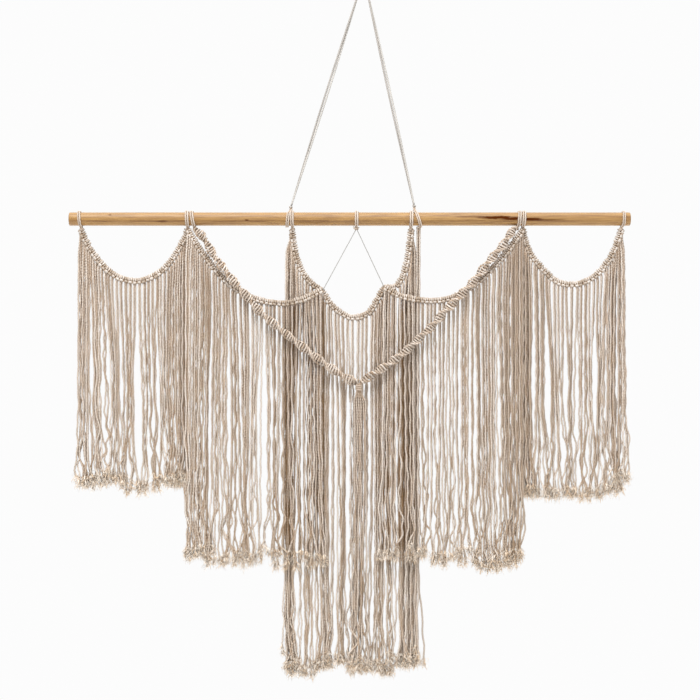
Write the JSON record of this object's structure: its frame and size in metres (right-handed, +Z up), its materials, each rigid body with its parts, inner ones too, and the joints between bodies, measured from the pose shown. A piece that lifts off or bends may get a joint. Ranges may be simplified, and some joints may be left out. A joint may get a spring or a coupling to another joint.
{
  "type": "macrame wall hanging on a wooden dowel",
  "caption": "Macrame wall hanging: knotted cotton swags with long cut fringe and a spiral garland with a tassel, on a round wooden dowel with a doubled hanging cord.",
  "frame": {"origin": "the point under the top of the hanging cord where it bears on its hook", "axes": "+X to the right along the dowel, -Y out of the front towards the viewer, +Z up"},
  "size_m": [1, 0.0387, 1.2357],
  "materials": {
    "wood": "planed and lightly oiled softwood, with fine lengthwise grain and one dark knot streak",
    "cotton_cord": "natural twisted three-ply cotton cord, matt, with frayed cut ends",
    "stay_thread": "thin grey thread, matt"
  },
  "bodies": {
    "root": {"dowel": "wood", "loop_outer_left": "cotton_cord", "loop_swag_left": "cotton_cord", "loop_garland_left": "cotton_cord", "loop_centre_left": "cotton_cord", "loop_middle": "cotton_cord", "loop_centre_right": "cotton_cord", "loop_garland_right": "cotton_cord", "loop_swag_right": "cotton_cord", "loop_outer_right": "cotton_cord", "loop_hanger_left": "cotton_cord", "loop_hanger_right": "cotton_cord", "hanger_knot_left": "cotton_cord", "hanger_knot_right": "cotton_cord", "hanger_strand_front": "cotton_cord", "hanger_strand_back": "cotton_cord", "band_outer_left": "cotton_cord", "band_middle_left": "cotton_cord", "band_centre": "cotton_cord", "band_middle_right": "cotton_cord", "band_outer_right": "cotton_cord", "fringe_outer_left": "cotton_cord", "fringe_middle_left": "cotton_cord", "fringe_centre": "cotton_cord", "fringe_middle_right": "cotton_cord", "fringe_outer_right": "cotton_cord", "garland_left": "cotton_cord", "garland_right": "cotton_cord", "garland_wrap": "cotton_cord", "garland_tassel": "cotton_cord", "tail_bundle": "cotton_cord", "stay_left": "stay_thread", "stay_right": "stay_thread"}
  },
  "joints": []
}
